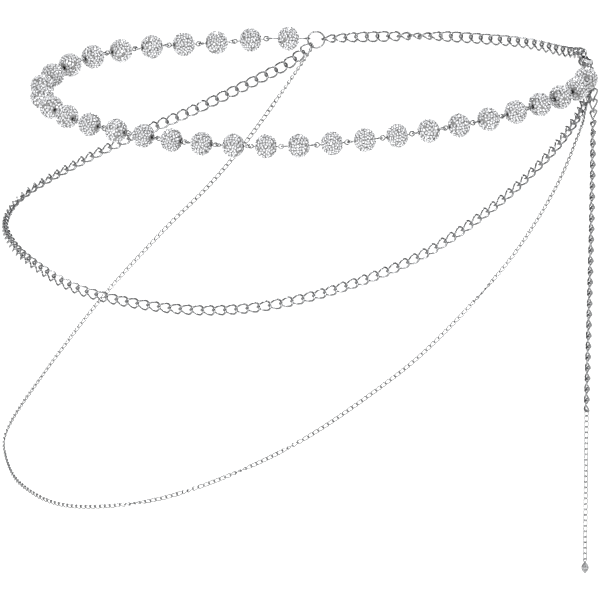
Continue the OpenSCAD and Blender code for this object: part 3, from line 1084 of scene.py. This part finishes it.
def clasp_hole_r(scene):
    """Radius of the hole in the clasp's eye."""
    return (scene.waist_beads.ring_wire_d + scene.waist_clasp.eye_play) / 2


def clasp_eye_at(scene):
    """Middle of the clasp's eye, which hangs on the far side of the clasp's ring."""
    beads = scene.waist_beads
    inward = clasp_hole_r(scene) - beads.ring_wire_d / 2 - 1.5 * HOOK_GAP
    return ring_point("clasp_ring", 180, beads) + inward * CLASP_Y


def held_link_at(scene):
    """Middle of the link that the hook holds."""
    chains, clasp = scene.waist_chains, scene.waist_clasp
    away = clasp.reach - clasp.hook_wire_d / 2 - HOOK_GAP - chains.link_wire_d / 2
    return clasp_eye_at(scene) + (away + link_reach(chains)) * CLASP_Y


def tail_top(scene):
    """Where the tail's first link starts, on the lower side of the held link."""
    chains, clasp = scene.waist_chains, scene.waist_clasp
    wire_d = chains.link_wire_d
    side = clasp.reach + clasp.hook_wire_d / 2 + wire_d / 2 + 1.25 * HOOK_GAP
    hook_at = clasp_eye_at(scene) + side * CLASP_Y
    hook_at -= (chains.link_w - wire_d) / 2 * CLASP_Z
    rise = chains.link_pitch / 2 - link_reach(chains) + wire_d + HOOK_GAP
    return hook_at + rise * Z


class WAIST_OT_chains(bpy.types.Operator):
    """Model one curb link and run the draped chain, the extender and the tail from copies of it"""

    bl_idname = "waist.chains"
    bl_label = "Curb Chains"
    bl_options = {"REGISTER", "UNDO"}

    def execute(self, context):
        beads = context.scene.waist_beads
        chains = context.scene.waist_chains
        plate = plate_material(context)
        pitch = chains.link_pitch
        size = (pitch, chains.link_w, chains.link_wire_d)
        link = model_link("link", *size, chains.tip_turn, LINK_SLACK, LINK_STEPS)
        seat = ring_seat(chains, beads)
        held_at = held_link_at(context.scene)
        drape = ring_route(BACK_RING_DRAPE, DRAPE_POINTS, CLASP_RING_DRAPE, beads, seat)
        extender_at = ring_point("back_ring", BACK_RING_EXTENDER, beads, seat)
        extender = Route([extender_at, *EXTENDER_POINTS, held_at + pitch / 2 * CLASP_Y])
        tail = Route([tail_top(context.scene), *TAIL_POINTS, TAIL_CHANGE])
        lean = math.radians(TAIL_LEAN)
        facing = math.cos(lean) * CLASP_Y + math.sin(lean) * CLASP_Y.cross(-Z)
        draped = chain_placements(drape, pitch, DRAPE_TWIST, DRAPE_END_TWIST)
        half = len(draped) // 2
        pieces = {
            "drape_chain_left": draped[:half],
            "drape_chain_right": draped[half:],
            "extender_chain": chain_placements(extender, pitch, EXTENDER_TWIST, EXTENDER_END_TWIST),
            "tail_chain": chain_placements(tail, pitch, TAIL_TWIST, NO_TWIST, facing),
        }
        held = model_link("held", *size, 0, HELD_SLACK, LINK_STEPS)
        for node, placements in pieces.items():
            piece = copies(link, placements, "curb_" + node)
            if node == "extender_chain":
                last = copy_at(held, placed(held_at, CLASP_Y, CLASP_X), "held_link")
                piece = join([piece, last], "curb_" + node)
            dress(piece, plate)
            hand_over(piece, "chain", node)
        bpy.data.objects.remove(link)
        bpy.data.objects.remove(held)
        return {"FINISHED"}


class WAIST_OT_fine_chains(bpy.types.Operator):
    """Model one fine curb link and run the fine drape and the tail's fine end from copies of it"""

    bl_idname = "waist.fine_chains"
    bl_label = "Fine Chains"
    bl_options = {"REGISTER", "UNDO"}

    def execute(self, context):
        beads = context.scene.waist_beads
        chains = context.scene.waist_chains
        plate = plate_material(context)
        pitch = chains.fine_pitch
        size = (pitch, chains.fine_w, chains.fine_wire_d)
        link = model_link("fine", *size, chains.tip_turn, FINE_SLACK, FINE_STEPS)
        reach = (pitch + chains.fine_wire_d + FINE_SLACK) / 2
        seat = reach - chains.fine_wire_d / 2 - beads.ring_wire_d / 2 - FINE_SLACK - pitch / 2
        drape = ring_route(BACK_RING_FINE, FINE_POINTS, CLASP_RING_FINE, beads, seat)
        tail = Route([TAIL_CHANGE, TAIL_END])
        pieces = {
            "fine_drape_chain": chain_placements(drape, pitch, FINE_TWIST, FINE_END_TWIST),
            "fine_tail_chain": chain_placements(tail, pitch, NO_TWIST, NO_TWIST, -Y),
        }
        for node, placements in pieces.items():
            piece = copies(link, placements, node.replace("fine_", "fine_curb_"))
            dress(piece, plate)
            hand_over(piece, "chain", node)
        bpy.data.objects.remove(link)
        return {"FINISHED"}


def clasp_placement(context):
    """Placement of the clasp, with x across it, y along it and z out of its flat face."""
    return from_axes(CLASP_X, CLASP_Y, CLASP_Z, clasp_eye_at(context.scene))


def plate_from(name, outline, thickness):
    """A flat plate with a rounded edge, from an outline in the clasp's face."""
    plate = start(
        bpy.ops.mesh.primitive_circle_add, name, vertices=len(outline), radius=1, fill_type="NGON"
    )
    for vert, (x, y) in zip(plate.data.vertices, outline):
        vert.co = (x * MM, y * MM, -thickness / 2)
    select_where(plate, lambda face: True, "faces")
    bpy.ops.mesh.extrude_region_move(TRANSFORM_OT_translate={"value": (0, 0, thickness)})
    bpy.ops.mesh.select_all(action="SELECT")
    bpy.ops.mesh.normals_make_consistent(inside=False)
    object_mode()
    apply_modifier(plate, "BEVEL", width=BASE_EDGE, segments=3)
    return plate


def cast(obj, voxel):
    """Melts joined parts into one cast form with soft edges, in cells of a given size."""
    apply_modifier(obj, "REMESH", mode="VOXEL", voxel_size=voxel, use_smooth_shade=True)
    apply_modifier(obj, "SMOOTH", factor=0.5, iterations=3)


def rows_from(start_at, rows):
    """Rows of (way in millimetres, share of the thickness) with each way made a place."""
    return [(start_at + Vector(way) * MM, share) for way, share in rows]


def tapered(first, last, count):
    """Even steps from a first value to a last one."""
    return [first + (last - first) * i / (count - 1) for i in range(count)]


def pin_through(name, radius, height, at):
    """A round bar along the clasp's z."""
    return start(
        bpy.ops.mesh.primitive_cylinder_add, name, vertices=32, radius=radius, depth=height,
        location=at,
    )


class WAIST_OT_clasp(bpy.types.Operator):
    """Model the lobster clasp's cast body and its sprung lever"""

    bl_idname = "waist.clasp"
    bl_label = "Lobster Clasp"
    bl_options = {"REGISTER", "UNDO"}

    def execute(self, context):
        sizes = context.scene.waist_clasp
        plate = cast_material(context)
        hook_r, arm_r = sizes.hook_r, sizes.arm_r
        hook_at = Vector((0, sizes.reach - hook_r, 0))
        rim_r = sizes.eye_rim / 2
        eye = start(
            bpy.ops.mesh.primitive_torus_add, "eye", major_segments=40, minor_segments=14,
            major_radius=clasp_hole_r(context.scene) + rim_r, minor_radius=rim_r,
        )
        make_active(eye)
        eye.scale = (1, 1, EYE_DEPTH)
        bpy.ops.object.transform_apply(location=False, rotation=False, scale=True)
        base = plate_from("base", BASE_OUTLINE, sizes.base_t)
        arm_at = Vector((hook_r - arm_r, sizes.reach - hook_r, 0))
        arm = arc(arm_at, X, Y, arm_r, ARM_START, 0, ARM_STEPS)[:-1]
        bow = arc(hook_at, X, Y, hook_r, 0, 180, HOOK_STEPS)
        thins = tapered(ARM_THICK, HOOK_THICK, len(arm) + 1)[:-1]
        thins += tapered(HOOK_THICK, TIP_THICK, len(bow))
        hook = wire("hook", arm + bow, sizes.hook_wire_d, sides=14, thins=thins)
        body = join([base, eye, hook], "lobster_clasp_body")
        cast(body, BODY_CELL)
        pocket_t = sizes.lever_t + 2 * SIDE_GAP
        cut(body, pin_through("pocket", sizes.boss_r + SIDE_GAP, pocket_t, PIVOT_AT))
        slot_at = PIVOT_AT + Vector((*SLOT_FROM_PIVOT, 0)) * MM
        slot = start(bpy.ops.mesh.primitive_cube_add, "slot", size=1, location=slot_at)
        slot.scale = (*(side * MM for side in SLOT_SIZE), pocket_t)
        cut(body, slot)
        rivet = pin_through("rivet", sizes.pivot_d / 2, sizes.base_t + RIVET_PROUD, PIVOT_AT)
        apply_modifier(rivet, "BEVEL", width=RIVET_PROUD, segments=2)
        place(rivet, Matrix.Identity(4))
        body = join([body, rivet], "lobster_clasp_body")
        smooth(body, SMOOTH_CAST)
        dress(place(body, clasp_placement(context)), plate)
        hand_over(body, "chain", "clasp_body")

        boss = pin_through("boss", sizes.boss_r, sizes.lever_t, PIVOT_AT)
        place(boss, Matrix.Identity(4))
        finger = rows_from(PIVOT_AT, FINGER_ROOT) + rows_from(LEVER_TIP, FINGER_END)
        parts = [boss]
        for name, rows in {"finger": finger, "tab": rows_from(PIVOT_AT, TAB)}.items():
            points, thins = zip(*rows)
            parts.append(wire(name, points, sizes.finger_d, sides=12, thins=thins))
        lever = join(parts, "lobster_clasp_lever")
        cast(lever, LEVER_CELL)
        cut(lever, pin_through("bore", sizes.pivot_d / 2 + PIVOT_GAP, sizes.base_t, PIVOT_AT))
        smooth(lever, SMOOTH_CAST)
        dress(place(lever, clasp_placement(context)), plate)
        hand_over(lever, "lever", "clasp_lever")
        return {"FINISHED"}


class WAIST_OT_drop(bpy.types.Operator):
    """Cut the drop and bend the pin that holds it"""

    bl_idname = "waist.drop"
    bl_label = "Cut Drop"
    bl_options = {"REGISTER", "UNDO"}

    def execute(self, context):
        sizes = context.scene.waist_drop
        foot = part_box("cut_drop")[0].z
        middle = box_middle("cut_drop")
        drop = start(
            bpy.ops.mesh.primitive_cylinder_add, "drop", vertices=DROP_FACETS,
            radius=DROP_ROWS[0][1] * sizes.width / 2, depth=DROP_DISC, end_fill_type="NGON",
        )
        select_where(drop, lambda face: face.normal.z > TABLE_RISE, "faces")
        bpy.ops.transform.translate(value=(0, 0, -DROP_DISC))
        height, width = DROP_ROWS[0]
        for row_height, row_width in DROP_ROWS[1:]:
            bpy.ops.mesh.extrude_region_move(
                TRANSFORM_OT_translate={"value": (0, 0, (row_height - height) * sizes.height)}
            )
            share = row_width / width
            bpy.ops.transform.resize(value=(share, share, 1))
            bpy.ops.transform.rotate(
                value=math.pi / DROP_FACETS, orient_axis="Z",
                center_override=(0, 0, row_height * sizes.height),
            )
            height, width = row_height, row_width
        bpy.ops.mesh.select_all(action="SELECT")
        bpy.ops.mesh.remove_doubles(threshold=0.1 * DROP_DISC)
        bpy.ops.mesh.quads_convert_to_tris(quad_method="SHORTEST_DIAGONAL")
        bpy.ops.mesh.normals_make_consistent(inside=False)
        object_mode()
        chance = random.Random(3)
        tones = drop.data.attributes.new(PAINTED_FACET_REFLECTION, "FLOAT", "FACE")
        # Each facet gets a painted reflection, lighter or darker at random. The tools number the
        # faces anew in each run, so these are drawn in an order by place
        facets = sorted(
            drop.data.polygons, key=lambda face: [round(face.center[i], 5) for i in (2, 0, 1)]
        )
        for face in facets:
            tones.data[face.index].value = chance.random()
        spin = Matrix.Rotation(DROP_SPIN, 4, "Z")
        place(drop, Matrix.Translation((middle.x, middle.y, foot)) @ spin)
        drop.name = "cut_crystal_drop"
        dress(drop, cut_crystal(context.scene.waist_finish.crystal))
        hand_over(drop, "chain", "cut_drop")

        top = Vector((middle.x, middle.y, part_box("cut_drop")[1].z))
        eye_at = top + Z * (sizes.eye_r + PIN_EYE_GAP)
        eye_end = PIN_EYE_START + PIN_EYE_SWEEP
        points = arc(eye_at, X, Z, sizes.eye_r, PIN_EYE_START, eye_end, PIN_EYE_STEPS)[::-1]
        points += [top + Z * PIN_NECK, top - Z * (sizes.height + PIN_STEM_END)]
        pin = wire("stem", points, sizes.wire_d)
        head = start(
            bpy.ops.mesh.primitive_uv_sphere_add, "head", segments=16, ring_count=8,
            radius=sizes.head_r,
        )
        head_at = Matrix.Translation(top - Z * (sizes.height + PIN_HEAD))
        place(head, head_at @ Matrix.Diagonal((1, 1, HEAD_FLAT, 1)))
        pin = join([pin, head], "drop_head_pin")
        smooth(pin, SMOOTH_WIRE)
        dress(pin, plate_material(context))
        hand_over(pin, "chain", "drop_pin")
        return {"FINISHED"}


def soft_light(name, at, towards, size, power):
    """A large soft lamp turned towards a point."""
    lamp = bpy.data.lights.new(name, "AREA")
    lamp.shape = "DISK"
    lamp.size = size
    lamp.energy = power
    obj = bpy.data.objects.new(name, lamp)
    bpy.context.scene.collection.objects.link(obj)
    at, towards = Vector(at), Vector(towards)
    obj.location = at
    obj.rotation_euler = (towards - at).to_track_quat("-Z", "Y").to_euler()
    obj.visible_camera = False


class WAIST_OT_stage(bpy.types.Operator):
    """Lay a pale floor, hang the soft lights and set the camera"""

    bl_idname = "waist.stage"
    bl_label = "Stage"
    bl_options = {"REGISTER", "UNDO"}

    def execute(self, context):
        scene = context.scene
        studio = scene.waist_studio
        floor = start(bpy.ops.mesh.primitive_plane_add, "floor", size=16)
        place(floor, Matrix.Translation((0, 0, -studio.floor_drop)))
        dress(floor, matt_floor(scene.waist_finish.floor))

        world = bpy.data.worlds.new("studio")
        world.use_nodes = True
        tree = world.node_tree
        seen = add_node(tree, "ShaderNodeLightPath").outputs["Is Camera Ray"]
        strength = add_node(
            tree, "ShaderNodeMapRange",
            {"To Min": WORLD_LIGHT * studio.light, "To Max": WHITE_GROUND}, {"Value": seen},
        )
        backdrop = tree.nodes["Background"]
        backdrop.inputs["Color"].default_value = (1, 1, 1, 1)
        tree.links.new(strength.outputs["Result"], backdrop.inputs["Strength"])
        scene.world = world
        for name, (at, towards, size, power) in LIGHTS.items():
            soft_light(name, at, towards, size, power * studio.light)
        scene.view_settings.view_transform = "Standard"

        camera = bpy.data.cameras.new("camera")
        camera.sensor_width = 36
        camera.lens = camera.sensor_width * studio.camera_away / studio.view_width
        camera.clip_end = 100
        obj = bpy.data.objects.new("camera", camera)
        scene.collection.objects.link(obj)
        rise = studio.camera_rise
        back = Vector((0, -math.cos(rise), math.sin(rise)))
        obj.location = VIEW_MIDDLE + studio.camera_away * back
        obj.rotation_euler = (math.pi / 2 - rise, 0, 0)
        scene.camera = obj
        return {"FINISHED"}


class WAIST_PT_maker(bpy.types.Panel):
    """Lists what the waist chain is made of"""

    bl_label = "Waist Chain"
    bl_idname = "WAIST_PT_maker"
    bl_space_type = "VIEW_3D"
    bl_region_type = "UI"
    bl_category = "Waist Chain"

    def draw(self, context):
        layout = self.layout
        for operator in OPERATORS:
            layout.operator(operator.bl_idname)
        for attribute, group in GROUPS.items():
            box = layout.box()
            box.label(text=group.__doc__)
            for name in group.__annotations__:
                box.prop(getattr(context.scene, attribute), name)


GROUPS = {
    "waist_beads": WaistBeads,
    "waist_chains": WaistChains,
    "waist_clasp": WaistClasp,
    "waist_drop": WaistDrop,
    "waist_finish": WaistFinish,
    "waist_studio": WaistStudio,
}
OPERATORS = [
    WAIST_OT_beads,
    WAIST_OT_pins,
    WAIST_OT_rings,
    WAIST_OT_chains,
    WAIST_OT_fine_chains,
    WAIST_OT_clasp,
    WAIST_OT_drop,
    WAIST_OT_stage,
]


def register():
    """Adds the settings, the operators and the panel."""
    for attribute, group in GROUPS.items():
        bpy.utils.register_class(group)
        setattr(bpy.types.Scene, attribute, PointerProperty(type=group))
    for cls in (*OPERATORS, WAIST_PT_maker):
        bpy.utils.register_class(cls)


def unregister():
    """Takes away what register added."""
    for cls in (WAIST_PT_maker, *reversed(OPERATORS)):
        bpy.utils.unregister_class(cls)
    for attribute, group in reversed(GROUPS.items()):
        delattr(bpy.types.Scene, attribute)
        bpy.utils.unregister_class(group)


def main():
    """Makes every piece and the stage."""
    register()
    bpy.ops.waist.beads()
    bpy.ops.waist.pins()
    bpy.ops.waist.rings()
    bpy.ops.waist.chains()
    bpy.ops.waist.fine_chains()
    bpy.ops.waist.clasp()
    bpy.ops.waist.drop()
    bpy.ops.waist.stage()


if __name__ == "__main__":
    main()
